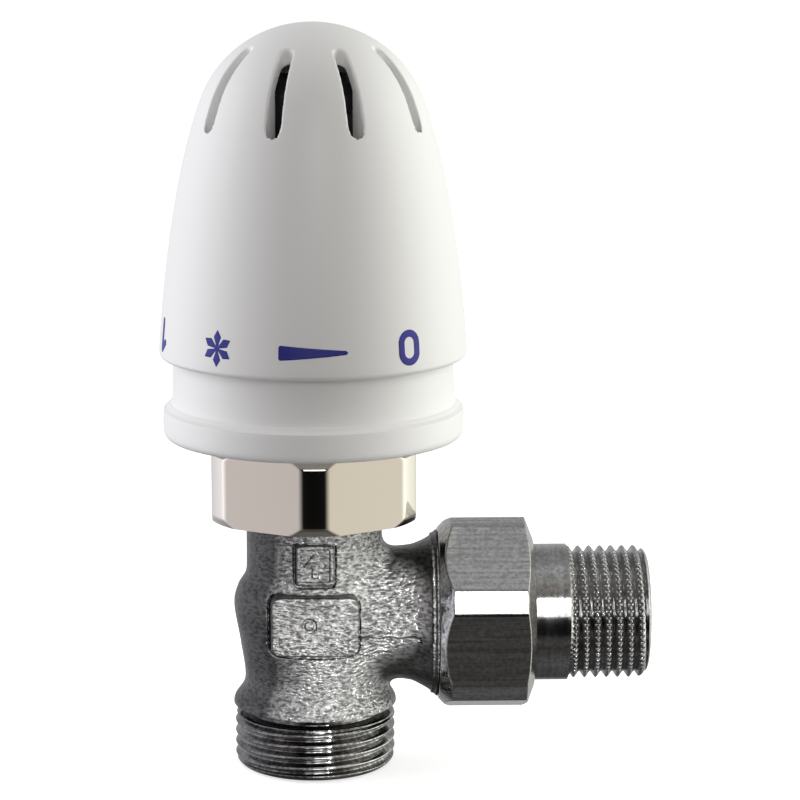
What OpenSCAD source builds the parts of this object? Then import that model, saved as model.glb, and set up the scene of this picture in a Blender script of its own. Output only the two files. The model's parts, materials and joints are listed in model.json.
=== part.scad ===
// Thermostatic radiator valve: an angle valve body with a union tail and a sensor head.
// The origin is the centre of the inlet face. +Z runs up the head, +X runs out along the tail.
// Every piece is drawn where it sits with the knob turned to mark 3.

/* [Knob] */
// Largest diameter of the knob, just above its rim
knob_d = 49.9; // [49.5:0.1:52]
// Height of the knob from its rim to its crown
knob_h = 53.6; // [53:0.1:56]
// Thickness of the knob's shell
knob_wall = 2.2; // [1.8:0.1:2.3]
// Number of air slots around the crown
slot_count = 9; // [6:1:9]
// Width of one air slot
slot_w = 2.6; // [2:0.1:2.8]
// Height of the scale's digits
digit_h = 5.7; // [4:0.1:5.8]

/* [Head base] */
// Diameter of the base's flange
flange_d = 48.8; // [48:0.1:50]
// Height of the base's flange
flange_h = 4.7; // [4:0.1:4.8]
// Diameter of the base's neck, which runs up inside the knob
neck_d = 45.4; // [44.4:0.1:45.4]

/* [Head nut] */
// Distance across the head nut's flats
head_nut_af = 33; // [32.5:0.1:35]
// Height of the head nut
head_nut_h = 12.2; // [11.8:0.1:12.6]
// Outside diameter of the thread that the head nut screws onto
head_thread_d = 28; // [27.8:0.1:28.2]

/* [Valve body] */
// Outside diameter of the inlet thread
inlet_thread_d = 26.44; // [26:0.01:26.6]
// Length of the inlet thread
inlet_thread_l = 10.4; // [9:0.1:11]
// Diameter of the waterway in the inlet
inlet_bore_d = 16; // [14:0.1:17]
// Height of the tail's axis above the inlet face
port_z = 25; // [25:0.1:25.4]
// Outside diameter of the cast neck under the head nut
body_neck_d = 22.2; // [21.8:0.1:23]
// Largest diameter of the cast bulge beside the port
body_bulge_d = 26.4; // [25:0.1:27]
// Height of the valve body's top face
body_top_z = 50.5; // [50.5:0.1:50.8]
// Clear diameter of the valve seat
seat_d = 11; // [10:0.1:11.4]

/* [Radiator tail] */
// Distance across the union nut's flats
union_nut_af = 30; // [29.5:0.1:32]
// Outside diameter of the thread that goes into the radiator
tail_thread_d = 21.6; // [20.8:0.1:21.8]
// Outside diameter of the tail's plain shank
tail_shank_d = 22.4; // [22:0.1:22.6]
// Distance from the head axis to the tail's open end
tail_reach = 54.7; // [53.5:0.1:60]
// Diameter of the waterway in the tail
tail_bore_d = 14.4; // [13:0.1:14.6]

/* [Mechanism] */
// Diameter of the valve pin
stem_d = 3; // [2.6:0.1:3.2]
// Gap between the seat and its washer at mark 3
valve_lift = 1.25; // [1.22:0.01:1.5]

/* [Hidden] */
$fn = 96;

// Fits
running_gap = 0.05;      // radial play of a turning or sliding fit
clear_gap = 0.3;         // radial play where pieces only pass each other

// Levels of the sensor head
nut_top_z = 54.2;
head_corner_d = 36;
nut_end_d = 34.6;
nut_chamfer = 1.2;
nut_bottom_z = nut_top_z - head_nut_h;
base_z = 55.1;
flange_top_z = base_z + flange_h;
base_floor_z = base_z + 2.5;
neck_top_z = 71;
knob_rim_z = 68.3;
knob_top_z = knob_rim_z + knob_h;
tower_top_z = 88;

// Radii shared by the knob, the base and the sensor cage
knob_r = knob_d / 2;
skirt_r = neck_d / 2 + clear_gap;
tower_r = 17;
sleeve_r = tower_r + 0.1;
sleeve_out_r = 18.8;
cage_r = 13.5;
cage_bore_r = 11.6;
key_r = cage_r + 1.2;
cavity_r = 14.4;
key_count = 3;
key_w = 2.8;

// Levels inside the knob
sleeve_z = 78;
skirt_top_z = 76.5;
ledge_z = 97.6;
cage_flange_z = 96;
cage_bottom_z = 66;
cage_top_z = 113;
slot_floor_z = 99.5;
slot_in_r = 11.1;
slot_out_r = 19.1;

// Bezier outline of the knob: a nearly straight flank, a shoulder and a flat crown
rim_round = 1;
flank_z = knob_rim_z + rim_round;
shoulder = [knob_r * 0.709, knob_rim_z + knob_h * 0.78];
shoulder_lean = 21.25;
flank_lean = 3.8;
flank_steps = 16;
crown_steps = 14;
function lean(a) = [-sin(a), cos(a)];
function bezier(a, b, c, d, t) =
    pow(1 - t, 3) * a + 3 * t * pow(1 - t, 2) * b + 3 * t * t * (1 - t) * c + pow(t, 3) * d;
flank_start = [knob_r, flank_z];
crown_end = [0, knob_top_z];
knob_flank = [for (i = [0 : flank_steps])
    bezier(flank_start, flank_start + 11.5 * lean(flank_lean), shoulder - 12 * lean(shoulder_lean),
           shoulder, i / flank_steps)];
knob_crown = [for (i = [1 : crown_steps])
    bezier(shoulder, shoulder + 7.4 * lean(shoulder_lean), crown_end + [8, 0], crown_end,
           i / crown_steps)];
rim_arc = [for (a = [-90 : 22.5 : -22.5])
    [knob_r - rim_round, flank_z] + rim_round * [cos(a), sin(a)]];
knob_outline = concat(rim_arc, knob_flank, knob_crown);

// The scale: angles from the front towards the tail, one step between marks. At rest the
// index on the base points at the 3
scale_z = 69.9;
print_t = 0.06;
mark_depth = 0.25;
mark_step = 37.3;
index_angle = -4 * mark_step;
stroke = 1.15;

// Levels and radii of the valve body and its insert
seat_z = 19;
seat_ring_h = 1.2;
chamber_floor_z = seat_z - seat_ring_h;
inlet_bore_top_z = 15.5;
insert_r = 8.75;
insert_z = 34;
insert_flange_z = 48.5;
insert_flange_r = 9.9;
insert_top_z = 52;
spring_bore_r = 6;
spring_bore_top_z = 46;
gland_z = 47.2;
gland_r = 4;
gland_ring_d = 1.8;
neck_top_body_z = 42.2;
head_thread_z = 43.3;
port_r = 11.1;
port_bore_r = 7;

// The valve pin and what it carries
stem_r = stem_d / 2;
stem_top_z = 56;
washer_z = seat_z + valve_lift;
washer_t = 1.65;
stem_collar_z = 44;
spring_seat_top_z = 35.5;

// Levels of the thrust train
push_flange_z = 63;
push_flange_t = 1.5;
cup_r = 8.8;
cup_bore_r = 7.8;
cup_bottom_z = 61.2;
cup_top_z = 77.5;
piston_r = 2;
piston_top_z = 92;
capsule_neck_z = 84;
capsule_z = 93;
capsule_top_z = 111;

// Places along the tail
port_flange_x = 18.4;
union_x = 20.2;
port_end_x = 28.5;
collar_x = 30;
lip_x = 33;
union_end_x = 35.8;
tail_thread_x = 41.8;
collar_r = 12;
union_nut_turn = 20;
union_corner_d = 32.6;
tail_chamfer = 1;

// ---- Shapes that repeat ----

// A plain cylinder from z0 to z1
module rod(r, z0, z1) {
    translate([0, 0, z0]) cylinder(r = r, h = z1 - z0);
}

// A ring with a square section
module ring(r_out, r_in, z0, z1) {
    rotate_extrude() translate([r_in, z0]) square([r_out - r_in, z1 - z0]);
}

// A ring with a round section, resting on z0
module o_ring(r_in, section_d, z0) {
    translate([0, 0, z0 + section_d / 2])
        rotate_extrude() translate([r_in + section_d / 2, 0]) circle(d = section_d);
}

// A hexagonal bar, one corner towards -Y
module hex_bar(af, z0, z1) {
    translate([0, 0, z0]) rotate([0, 0, 30]) cylinder(d = af / cos(30), h = z1 - z0, $fn = 6);
}

// A hexagonal nut with turned corners and a cone at each end
module nut_blank(af, corner_d, low_d, low_h, top_d, top_h, z0, z1) {
    intersection() {
        hex_bar(af, z0, z1);
        rotate_extrude() polygon([[0, z0], [low_d / 2, z0], [corner_d / 2, z0 + low_h],
                                  [corner_d / 2, z1 - top_h], [top_d / 2, z1], [0, z1]]);
    }
}

// Places a piece modelled along +Z so that it lies along +X at the port's height
module along_tail() {
    translate([0, 0, port_z]) rotate([0, 90, 0]) children();
}

// A compression spring with one closed turn at each end
module coil_spring(mean_r, wire_d, turns, z0, z1) {
    steps = 14;
    sides = 6;
    pitch = (z1 - z0 - 3 * wire_d) / (turns - 2);
    function rise(t) = t < 1 ? t * wire_d
        : t < turns - 1 ? wire_d + (t - 1) * pitch
        : wire_d + (turns - 2) * pitch + (t - turns + 1) * wire_d;
    rings = turns * steps;
    points = [for (i = [0 : rings], k = [0 : sides - 1])
        let (turn = i / steps, a = 360 * turn, b = 360 * k / sides,
             r = mean_r + wire_d / 2 * cos(b))
        [r * cos(a), r * sin(a), z0 + wire_d / 2 + rise(turn) + wire_d / 2 * sin(b)]];
    skin = [for (i = [0 : rings - 1], k = [0 : sides - 1])
        let (n = (k + 1) % sides, p = i * sides, q = p + sides)
        [p + k, p + n, q + n, q + k]];
    caps = [[for (k = [sides - 1 : -1 : 0]) k], [for (k = [0 : sides - 1]) rings * sides + k]];
    polyhedron(points, concat(skin, caps), convexity = 10);
}

// A smooth curve through a few points
function between(a, b, c, d, t) =
    0.5 * (2 * b + (c - a) * t + (2 * a - 5 * b + 4 * c - d) * t * t
           + (3 * b - a - 3 * c + d) * t * t * t);
function curve(p, steps = 4) = let (last = len(p) - 1) concat(
    [for (i = [0 : last - 1], k = [0 : steps - 1])
        between(p[max(i - 1, 0)], p[i], p[i + 1], p[min(i + 2, last)], k / steps)], [p[last]]);

// ---- Valve body and tail ----

// The cast body's outline from the inlet face to its top
module body_outline() {
    thread_r = inlet_thread_d / 2;
    neck_r = body_neck_d / 2;
    bulge_r = body_bulge_d / 2;
    head_r = head_thread_d / 2 - running_gap;
    cast = curve([[thread_r + 0.15, inlet_thread_l], [neck_r + 0.4, 14.4], [bulge_r - 1, 20.6],
                  [bulge_r, 26.8], [bulge_r - 0.6, 29.9], [neck_r + 0.2, 32.2],
                  [neck_r, 35]]);
    polygon(concat([[0, 0], [thread_r, 0], [thread_r, inlet_thread_l]],
                   cast, [[neck_r, neck_top_body_z], [head_r, head_thread_z],
                          [head_r, body_top_z - 0.8], [head_r - 0.8, body_top_z],
                          [0, body_top_z]]));
}

// The side port's outline, from the head axis out to the union thread
module port_outline() {
    thread_r = inlet_thread_d / 2 - 0.02;
    polygon([[0, 0], [port_r, 0], [port_r, port_flange_x - 1.6], [port_r + 0.5, port_flange_x - 0.5],
             [13.6, port_flange_x + 0.6], [13.6, union_x - 0.1], [thread_r, union_x - 0.1],
             [thread_r, port_end_x - 0.6], [thread_r - 0.6, port_end_x], [0, port_end_x]]);
}

module valve_body() {
    pad = [14, 12.5, 9.7];
    badge = [6, 8, 6.5];
    color("silver") difference() {
        union() {
            rotate_extrude() body_outline();
            along_tail() rotate_extrude() port_outline();
            // Two cast pads on the front, the lower one long and the upper one square
            translate([-pad[0] / 2, -13.4, 21.3]) cube(pad);
            translate([-badge[0] / 2, -12.1, 32.7]) cube(badge);
        }
        rod(inlet_bore_d / 2, -1, inlet_bore_top_z);
        rod(seat_d / 2, 0, chamber_floor_z);
        rotate_extrude() polygon([[0, chamber_floor_z - 1], [seat_d / 2, chamber_floor_z - 1],
            [seat_d / 2, seat_z], [seat_d / 2 + seat_ring_h, seat_z],
            [seat_d / 2 + 2 * seat_ring_h, chamber_floor_z], [insert_r, chamber_floor_z],
            [insert_r, seat_z + 2], [0, seat_z + 2]]);
        rod(insert_r, seat_z + 1, body_top_z + 1);
        rod(insert_flange_r + 0.1, insert_flange_z - 1.5, body_top_z + 1);
        along_tail() rod(port_bore_r, 0, port_end_x + 1);
        along_tail() translate([0, 0, port_end_x - 2])
            cylinder(r1 = port_bore_r, r2 = port_bore_r + 2.5, h = 2.5);
    }
}

module tailpiece() {
    nose_x = port_end_x - 1;
    nose_r = port_bore_r + 0.97;
    thread_r = tail_thread_d / 2;
    shank_r = tail_shank_d / 2;
    bore_r = tail_bore_d / 2;
    color("silver") along_tail() rotate_extrude()
        polygon([[bore_r, nose_x], [nose_r, nose_x], [nose_r + 2.5, collar_x], [collar_r, collar_x],
                 [collar_r, lip_x], [shank_r, lip_x], [shank_r, tail_thread_x - 0.8],
                 [thread_r, tail_thread_x], [thread_r, tail_reach - tail_chamfer],
                 [thread_r - tail_chamfer, tail_reach], [bore_r, tail_reach]]);
}

module union_nut() {
    thread_gap_r = inlet_thread_d / 2 - 0.02 + running_gap;
    color("darkgray") along_tail() difference() {
        // Turned so that one corner lies a little above the horizontal at the front
        rotate([0, 0, -union_nut_turn])
            nut_blank(union_nut_af, union_corner_d, 28, 2.1, 24.8, 1.5, union_x, union_end_x);
        rod(thread_gap_r, union_x - 1, lip_x + running_gap);
        rod(tail_shank_d / 2 + running_gap, union_x, union_end_x + 1);
    }
}

// ---- Valve insert ----

module insert_body() {
    color("goldenrod") difference() {
        union() {
            rod(insert_r, insert_z, insert_flange_z - 1);
            rod(insert_flange_r - 1.9, insert_z, insert_flange_z);
            rod(insert_flange_r, insert_flange_z, 50.2);
            hex_bar(16, 50, insert_top_z);
        }
        rod(spring_bore_r, insert_z - 1, spring_bore_top_z);
        rod(stem_r + running_gap, insert_z, insert_top_z);
        rod(gland_r, gland_z, insert_top_z + 1);
    }
}

module insert_oring() {
    color("black") o_ring(insert_r - 0.4, 0.95, insert_flange_z - 0.98);
}

module spring_seat() {
    color("goldenrod") ring(spring_bore_r, stem_r + running_gap, insert_z, spring_seat_top_z);
}

module gland_oring() {
    color("black") o_ring(stem_r + running_gap, gland_ring_d, gland_z);
}

module gland_nut() {
    color("gold") difference() {
        union() {
            rod(gland_r, gland_z + gland_ring_d, insert_top_z);
            hex_bar(11, insert_top_z, insert_top_z + 1.8);
        }
        rod(stem_r + running_gap, gland_z, insert_top_z + 3);
    }
}

module valve_stem() {
    color("lightgray") rotate_extrude()
        polygon([[0, washer_z - 0.9], [stem_r, washer_z - 0.9], [stem_r, stem_top_z - 0.5],
                 [stem_r - 0.5, stem_top_z], [0, stem_top_z]]);
}

module stem_collar() {
    color("dimgray") ring(5.2, stem_r, stem_collar_z, stem_collar_z + 0.8);
}

module return_spring() {
    color("gainsboro") coil_spring(4.2, 0.9, 6, spring_seat_top_z, stem_collar_z);
}

module disc_holder() {
    rim_r = 7.4;
    back_z = washer_z + washer_t;
    color("goldenrod") rotate_extrude()
        polygon([[stem_r, back_z], [rim_r - 0.5, back_z], [rim_r - 0.5, washer_z + 0.6],
                 [rim_r, washer_z + 0.6], [rim_r, back_z + 1.6], [3.4, back_z + 2.2],
                 [3, back_z + 6], [stem_r, back_z + 6]]);
}

module seat_washer() {
    color("black") ring(6.9, stem_r, washer_z, washer_z + washer_t);
}

module disc_retainer() {
    color("goldenrod") ring(3.4, stem_r, washer_z - 0.6, washer_z);
}

// ---- Sensor head: fixed pieces ----

module head_nut() {
    lip_z = 52.5;
    color("wheat") difference() {
        nut_blank(head_nut_af, head_corner_d, nut_end_d, nut_chamfer, nut_end_d, nut_chamfer,
                  nut_bottom_z, nut_top_z);
        rod(head_thread_d / 2, nut_bottom_z - 1, lip_z);
        rod(12.5, nut_bottom_z, nut_top_z + 1);
    }
}

module nut_retaining_ring() {
    gap_angle = 24;
    color("slategray") difference() {
        ring(13.4, 11.6, 51.4, 52.4);
        translate([0, 0, 51]) linear_extrude(2)
            polygon([[0, 0], 20 * [cos(gap_angle / 2), -sin(gap_angle / 2)],
                     20 * [cos(gap_angle / 2), sin(gap_angle / 2)]]);
    }
}

// A sector of a ring, used for the turning stops
module stop_lug(r_out, r_in, mid_angle, span, z0, z1) {
    half = span / 2;
    intersection() {
        ring(r_out, r_in, z0, z1);
        rotate([0, 0, mid_angle]) translate([0, 0, z0]) linear_extrude(z1 - z0)
            polygon([[0, 0], 40 * [cos(half), -sin(half)], 40 * [cos(half), sin(half)]]);
    }
}

// The turning stops: two lugs that leave the knob 313.3 degrees of turn
lug_span = (360 - 313.3) / 2 - 0.6;
fixed_lug_angle = -180;
knob_lug_angle = fixed_lug_angle + 220 + lug_span + 0.6;

module head_base() {
    neck_r = neck_d / 2;
    flange_r = flange_d / 2;
    neck_bore_r = neck_r - 1.8;
    color("whitesmoke") difference() {
        union() {
            // Flange with a hollow slope up to the neck
            rotate_extrude() polygon(concat(
                [[0, base_z], [flange_r - 1.4, base_z], [flange_r - 0.4, base_z + 0.3],
                 [flange_r, base_z + 1.2]],
                curve([[flange_r - 0.1, flange_top_z], [neck_r + 0.75, flange_top_z + 0.7],
                       [neck_r + 0.2, flange_top_z + 2.2], [neck_r, neck_top_z - 0.4]]),
                [[neck_r - 0.4, neck_top_z], [neck_bore_r, neck_top_z], [neck_bore_r, base_floor_z],
                 [0, base_floor_z]]));
            rod(tower_r, base_z, tower_top_z);
            rod(12.4, body_top_z, base_z + 1);
            stop_lug(19.8, tower_r - 1, fixed_lug_angle, lug_span, base_z + 1, 70.5);
        }
        // Inside of the tower, with grooves for the sensor cage's keys
        rod(cage_r + clear_gap, base_floor_z, tower_top_z + 1);
        for (i = [0 : key_count - 1])
            rotate([0, 0, 360 / key_count * i]) translate([0, -key_w / 2 - 0.3, base_floor_z + 1])
                cube([key_r + clear_gap, key_w + 0.6, tower_top_z]);
        rod(10.6, body_top_z - 1, base_z + 0.4);
        rod(3 + running_gap, base_z, base_floor_z + 1);
        ring(13, 11.6, 51.4, 52.4);
    }
    // Guide boss for the push pin
    color("whitesmoke") ring(5, 3 + running_gap, base_floor_z - 0.5, 60);
}

module index_mark() {
    mark_h = 3;
    flange_r = flange_d / 2;
    color("mediumblue") intersection() {
        ring(flange_r + print_t, flange_r, base_z + 1.2, flange_top_z - 0.3);
        rotate([0, 0, index_angle]) translate([0, 2 - flange_r, base_z + 1.3]) rotate([90, 0, 0])
            linear_extrude(4) polygon([[-1.4, 0], [1.4, 0], [0, mark_h]]);
    }
}

// ---- Sensor head: thrust train ----

module push_pin() {
    color("ivory") union() {
        rod(3, stem_top_z, push_flange_z + 0.2);
        rod(7.4, push_flange_z, push_flange_z + push_flange_t);
        rod(3.6, push_flange_z, push_flange_z + 4);
    }
}

module cup_clip() {
    color("dimgray") ring(cup_bore_r, 6.2, push_flange_z - 1, push_flange_z);
}

module overtravel_spring() {
    color("gainsboro") coil_spring(5.4, 1.3, 7, push_flange_z + push_flange_t, cup_top_z - 1.5);
}

module thrust_cup() {
    color("lightgray") difference() {
        rod(cup_r, cup_bottom_z, cup_top_z);
        rod(cup_bore_r, cup_bottom_z - 1, cup_top_z - 1.5);
    }
}

module sensor_piston() {
    color("lightgray") rod(piston_r, cup_top_z, piston_top_z);
}

module sensor_capsule() {
    color("silver") difference() {
        union() {
            rotate_extrude() polygon([[0, capsule_z], [11, capsule_z], [11.3, capsule_z + 0.6],
                [11.3, capsule_top_z - 1.5], [10, capsule_top_z], [0, capsule_top_z]]);
            rod(5.6, capsule_neck_z, capsule_z + 1);
        }
        rod(piston_r + running_gap, capsule_neck_z - 1, capsule_top_z - 6);
    }
}

module sensor_cage() {
    window_count = 9;
    window_w = 5;
    color([0.06, 0.06, 0.06]) difference() {
        union() {
            rotate_extrude() polygon([[cage_bore_r, cage_bottom_z], [cage_r, cage_bottom_z],
                [cage_r, cage_top_z - 1.8], [cage_r - 2.2, cage_top_z], [0, cage_top_z],
                [0, capsule_top_z], [cage_bore_r, capsule_top_z]]);
            ring(cage_bore_r + 0.5, 6.5, capsule_z - 1.6, capsule_z);
            ring(sleeve_r - clear_gap, cage_r - 1, cage_flange_z, ledge_z - 0.1);
            for (i = [0 : key_count - 1])
                rotate([0, 0, 360 / key_count * i]) translate([cage_r - 1, -key_w / 2, cage_bottom_z])
                    cube([key_r - cage_r + 1, key_w, 86 - cage_bottom_z]);
        }
        // Windows that let room air reach the capsule
        for (i = [0 : window_count - 1])
            rotate([0, 0, 360 / window_count * (i + 0.5)])
                translate([cage_bore_r - 1, -window_w / 2, slot_floor_z])
                    cube([4, window_w, cage_top_z - slot_floor_z - 4]);
    }
}

// ---- Sensor head: knob ----

module cage_retaining_ring() {
    color("slategray") ring(sleeve_r + 0.8, 15.4, 94.6, 95.8);
}

module stop_ring() {
    color("lightblue") union() {
        ring(sleeve_out_r, sleeve_r + 0.1, sleeve_z - 2.5, sleeve_z);
        stop_lug(sleeve_out_r, sleeve_r + 0.1, knob_lug_angle, lug_span, 66, sleeve_z);
    }
}

// An air slot's plan: a rounded inner end and a nearly square outer end
module slot_plan() {
    inner_w = slot_w - 0.3;
    translate([slot_in_r + inner_w / 2, 0]) circle(d = inner_w, $fn = 32);
    polygon([[slot_in_r + inner_w / 2, -inner_w / 2], [slot_out_r, -slot_w / 2],
             [slot_out_r, slot_w / 2], [slot_in_r + inner_w / 2, inner_w / 2]]);
}

module head_knob() {
    // The shell's inside: the crown's underside is the outline, lowered by the wall
    roof = [for (p = knob_crown) if (p[0] < cavity_r - 0.2) [p[0], p[1] - knob_wall]];
    flank_inside = [for (i = [len(knob_flank) - 1 : -1 : 0])
        if (knob_flank[i][1] > skirt_top_z && knob_flank[i][1] < ledge_z - 4)
            knob_flank[i] - [knob_wall, 0]];
    roof_back = [for (i = [len(roof) - 1 : -1 : 0]) roof[i]];
    color("white") difference() {
        rotate_extrude() polygon(concat(
            [[skirt_r, knob_rim_z]], knob_outline, roof_back,
            [[cavity_r, roof[0][1] - 0.6], [cavity_r, ledge_z], [sleeve_r, ledge_z],
             [sleeve_r, 95.85], [sleeve_r + 0.8, 95.85], [sleeve_r + 0.8, 94.55],
             [sleeve_r, 94.55], [sleeve_r, sleeve_z], [sleeve_out_r, sleeve_z],
             [sleeve_out_r, ledge_z - 4]],
            flank_inside, [[skirt_r, skirt_top_z]]));
        for (i = [0 : slot_count - 1])
            rotate([0, 0, 360 / slot_count * (i + 0.5) - 90 + 1.3])
                translate([0, 0, slot_floor_z]) linear_extrude(knob_top_z) slot_plan();
    }
}

// ---- Scale marks: plain shapes drawn upright, then laid on the flank ----

module bar(x0, y0, x1, y1) {
    translate([min(x0, x1), min(y0, y1)]) square([abs(x1 - x0), abs(y1 - y0)]);
}

// Part of a round stroke between two angles
module bow(r, a0, a1) {
    intersection() {
        difference() {
            circle(r = r, $fn = 32);
            circle(r = r - stroke, $fn = 32);
        }
        polygon(concat([[0, 0]], [for (a = [a0 : (a1 - a0) / 6 : a1]) 3 * r * [cos(a), sin(a)]]));
    }
}

module digit_0() {
    r = digit_h * 0.37;
    for (s = [-1, 1]) translate([0, s * (digit_h / 2 - r)]) bow(r, s > 0 ? 0 : 180, s > 0 ? 180 : 360);
    for (s = [-1, 1]) bar(s * r, r - digit_h / 2, s * (r - stroke), digit_h / 2 - r);
}

module digit_1() {
    bar(-stroke / 2, -digit_h / 2, stroke / 2, digit_h / 2);
    translate([0, digit_h / 2]) polygon([[0, 0], [-1.5, -1.5], [-0.9, -2.2], [0.2, -1.2]]);
}

module digit_2() {
    r = digit_h * 0.32;
    top = digit_h / 2 - r;
    translate([0, top]) bow(r, -20, 180);
    polygon([[r - 0.1, top - 0.6], [-r + 0.4, stroke - digit_h / 2 - 0.1], [-r, -digit_h / 2],
             [-r + 1.5, stroke - digit_h / 2 - 0.1], [r - 1.1, top - 0.3]]);
    bar(-r, -digit_h / 2, r, stroke - digit_h / 2);
}

module digit_3() {
    r = digit_h * 0.29;
    for (s = [-1, 1]) translate([0, s * (digit_h / 2 - r)])
        bow(r, s > 0 ? -90 : -180, s > 0 ? 180 : 90);
}

module digit_4() {
    bar(0.3, -digit_h / 2, 0.3 + stroke, digit_h / 2);
    bar(-2, -1.4, 2.1, -1.4 + stroke);
    polygon([[-2, -0.9], [-0.7, -0.9], [0.9, digit_h / 2], [0.3, digit_h / 2]]);
}

module digit_5() {
    r = digit_h * 0.32;
    bar(-r + 0.2, digit_h / 2 - stroke, r, digit_h / 2);
    bar(-r + 0.2, 0, -r + 0.2 + stroke, digit_h / 2);
    translate([0, r - digit_h / 2]) bow(r, -150, 120);
}

// Frost mark: six pointed petals
module frost() {
    for (i = [0 : 5]) rotate(60 * i)
        polygon([[0, 0.25], [0.55, 1.7], [0, digit_h / 2], [-0.55, 1.7]]);
}

// A wedge that grows towards the warmer marks
module wedge() {
    polygon([[-5, -0.3], [5, -1.2], [5, 1.2], [-5, 0.3]]);
}

// Sets a thin flat mark into the flank at an angle from the front, with its top towards the rim
module on_flank(angle) {
    mark_z = scale_z + digit_h / 2;
    mark_r = knob_r - (mark_z - flank_z) * tan(flank_lean);
    rotate([0, 0, angle]) translate([0, -mark_r, mark_z]) rotate([-flank_lean, 0, 0])
        rotate([90, 180, 0]) translate([0, 0, -mark_depth]) linear_extrude(mark_depth + print_t)
            children();
}

// The wedge is wide, so it follows the round flank
module front_wedge() {
    low_z = scale_z + 1;
    top_z = scale_z + digit_h - 1;
    low_r = knob_r - (low_z - flank_z) * tan(flank_lean);
    top_r = knob_r - (top_z - flank_z) * tan(flank_lean);
    intersection() {
        rotate_extrude()
            polygon([[low_r - mark_depth, low_z], [low_r + print_t, low_z],
                     [top_r + print_t, top_z], [top_r - mark_depth, top_z]]);
        translate([0, -knob_r / 2, scale_z + digit_h / 2]) rotate([90, 180, 0])
            linear_extrude(knob_r) wedge();
    }
}

module scale_marks() {
    color([0.2, 0.2, 0.58]) {
        on_flank(mark_step) digit_0();
        front_wedge();
        on_flank(-mark_step) frost();
        on_flank(-2 * mark_step) digit_1();
        on_flank(-3 * mark_step) digit_2();
        on_flank(-4 * mark_step) digit_3();
        on_flank(-5 * mark_step) digit_4();
        on_flank(-6 * mark_step) digit_5();
    }
}

valve_body();
insert_body();
insert_oring();
spring_seat();
gland_oring();
gland_nut();
valve_stem();
stem_collar();
return_spring();
disc_holder();
seat_washer();
disc_retainer();
tailpiece();
union_nut();
head_nut();
nut_retaining_ring();
head_base();
index_mark();
push_pin();
cup_clip();
overtravel_spring();
thrust_cup();
sensor_piston();
sensor_capsule();
sensor_cage();
cage_retaining_ring();
stop_ring();
head_knob();
scale_marks();
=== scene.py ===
"""Looks of the thermostatic radiator valve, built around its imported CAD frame.

Lengths are in millimetres in the shape functions and become metres when a mesh is made.
"""
from functools import reduce
import json
import math

import bpy
import numpy as np
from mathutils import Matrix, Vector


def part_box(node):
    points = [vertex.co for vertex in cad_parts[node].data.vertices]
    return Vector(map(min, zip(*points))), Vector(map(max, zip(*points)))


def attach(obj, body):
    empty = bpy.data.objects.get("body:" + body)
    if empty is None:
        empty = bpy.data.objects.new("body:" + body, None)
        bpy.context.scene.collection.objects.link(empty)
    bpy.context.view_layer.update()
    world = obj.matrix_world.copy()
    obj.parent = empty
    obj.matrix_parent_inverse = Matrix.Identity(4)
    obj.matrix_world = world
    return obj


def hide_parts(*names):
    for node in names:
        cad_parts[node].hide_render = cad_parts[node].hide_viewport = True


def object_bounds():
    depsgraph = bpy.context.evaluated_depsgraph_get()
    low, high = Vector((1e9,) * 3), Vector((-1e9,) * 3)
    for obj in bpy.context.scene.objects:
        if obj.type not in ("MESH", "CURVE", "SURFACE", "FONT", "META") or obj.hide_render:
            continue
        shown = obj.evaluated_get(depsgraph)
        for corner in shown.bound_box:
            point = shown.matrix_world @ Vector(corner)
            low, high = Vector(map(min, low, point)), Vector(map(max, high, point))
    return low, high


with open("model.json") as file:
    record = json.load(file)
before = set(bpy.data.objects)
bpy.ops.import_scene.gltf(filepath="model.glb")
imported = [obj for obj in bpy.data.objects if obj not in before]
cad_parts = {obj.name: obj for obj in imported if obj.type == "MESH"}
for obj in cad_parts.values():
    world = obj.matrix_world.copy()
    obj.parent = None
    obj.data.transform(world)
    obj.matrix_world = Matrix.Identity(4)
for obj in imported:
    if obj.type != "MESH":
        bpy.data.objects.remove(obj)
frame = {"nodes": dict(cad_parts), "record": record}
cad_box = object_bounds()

import openvdb
from mathutils import Vector

MM = 0.001
NODES = frame["nodes"]


def span(node):
    """Lowest and highest corner of a CAD node, in millimetres."""
    low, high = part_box(node)
    return np.array(low) / MM, np.array(high) / MM


# ---- Sizes taken from the frame, and a few that several pieces share ----

KNOB_LOW, KNOB_HIGH = span("head_knob")
BASE_LOW, BASE_HIGH = span("head_base")
NUT_LOW, NUT_HIGH = span("head_nut")
UNION_LOW, UNION_HIGH = span("union_nut")
TAIL_LOW, TAIL_HIGH = span("tailpiece")
KNOB_R = KNOB_HIGH[0]
KNOB_RIM = KNOB_LOW[2]
KNOB_TOP = KNOB_HIGH[2]
KNOB_H = KNOB_TOP - KNOB_RIM
PORT_Z = (TAIL_LOW[2] + TAIL_HIGH[2]) / 2
PIPE_PITCH = 25.4 / 14      # pipe thread, 14 turns to the inch
INK_LIFTS = (-0.05, 0.03)   # a printed mark reaches from just under the surface to just over it


# ---- Numeric helpers ----

def smooth_max(a, b, k):
    """The larger of two distances, with the crease between them rounded over k."""
    h = np.clip(k - np.abs(a - b), 0, None) / k
    return np.maximum(a, b) + h * h * k * 0.25


def smooth_min(a, b, k):
    """The smaller of two distances, with a fillet of about k in the crease."""
    return -smooth_max(-a, -b, k)


def union_of(*fields):
    """The field of several solids together."""
    return reduce(np.minimum, fields)


def barrel(r, along, radius, low=-math.inf, high=math.inf):
    """Distance to a cylinder, whose ends are at two places along its axis."""
    return np.maximum(r - radius, np.maximum(low - along, along - high))


def corner_distance(a, b, radius):
    """Distance to a rounded corner, from how far a point lies past the two sides of its centre."""
    return np.hypot(np.maximum(a, 0), np.maximum(b, 0)) + np.minimum(np.maximum(a, b), 0) - radius


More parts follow.
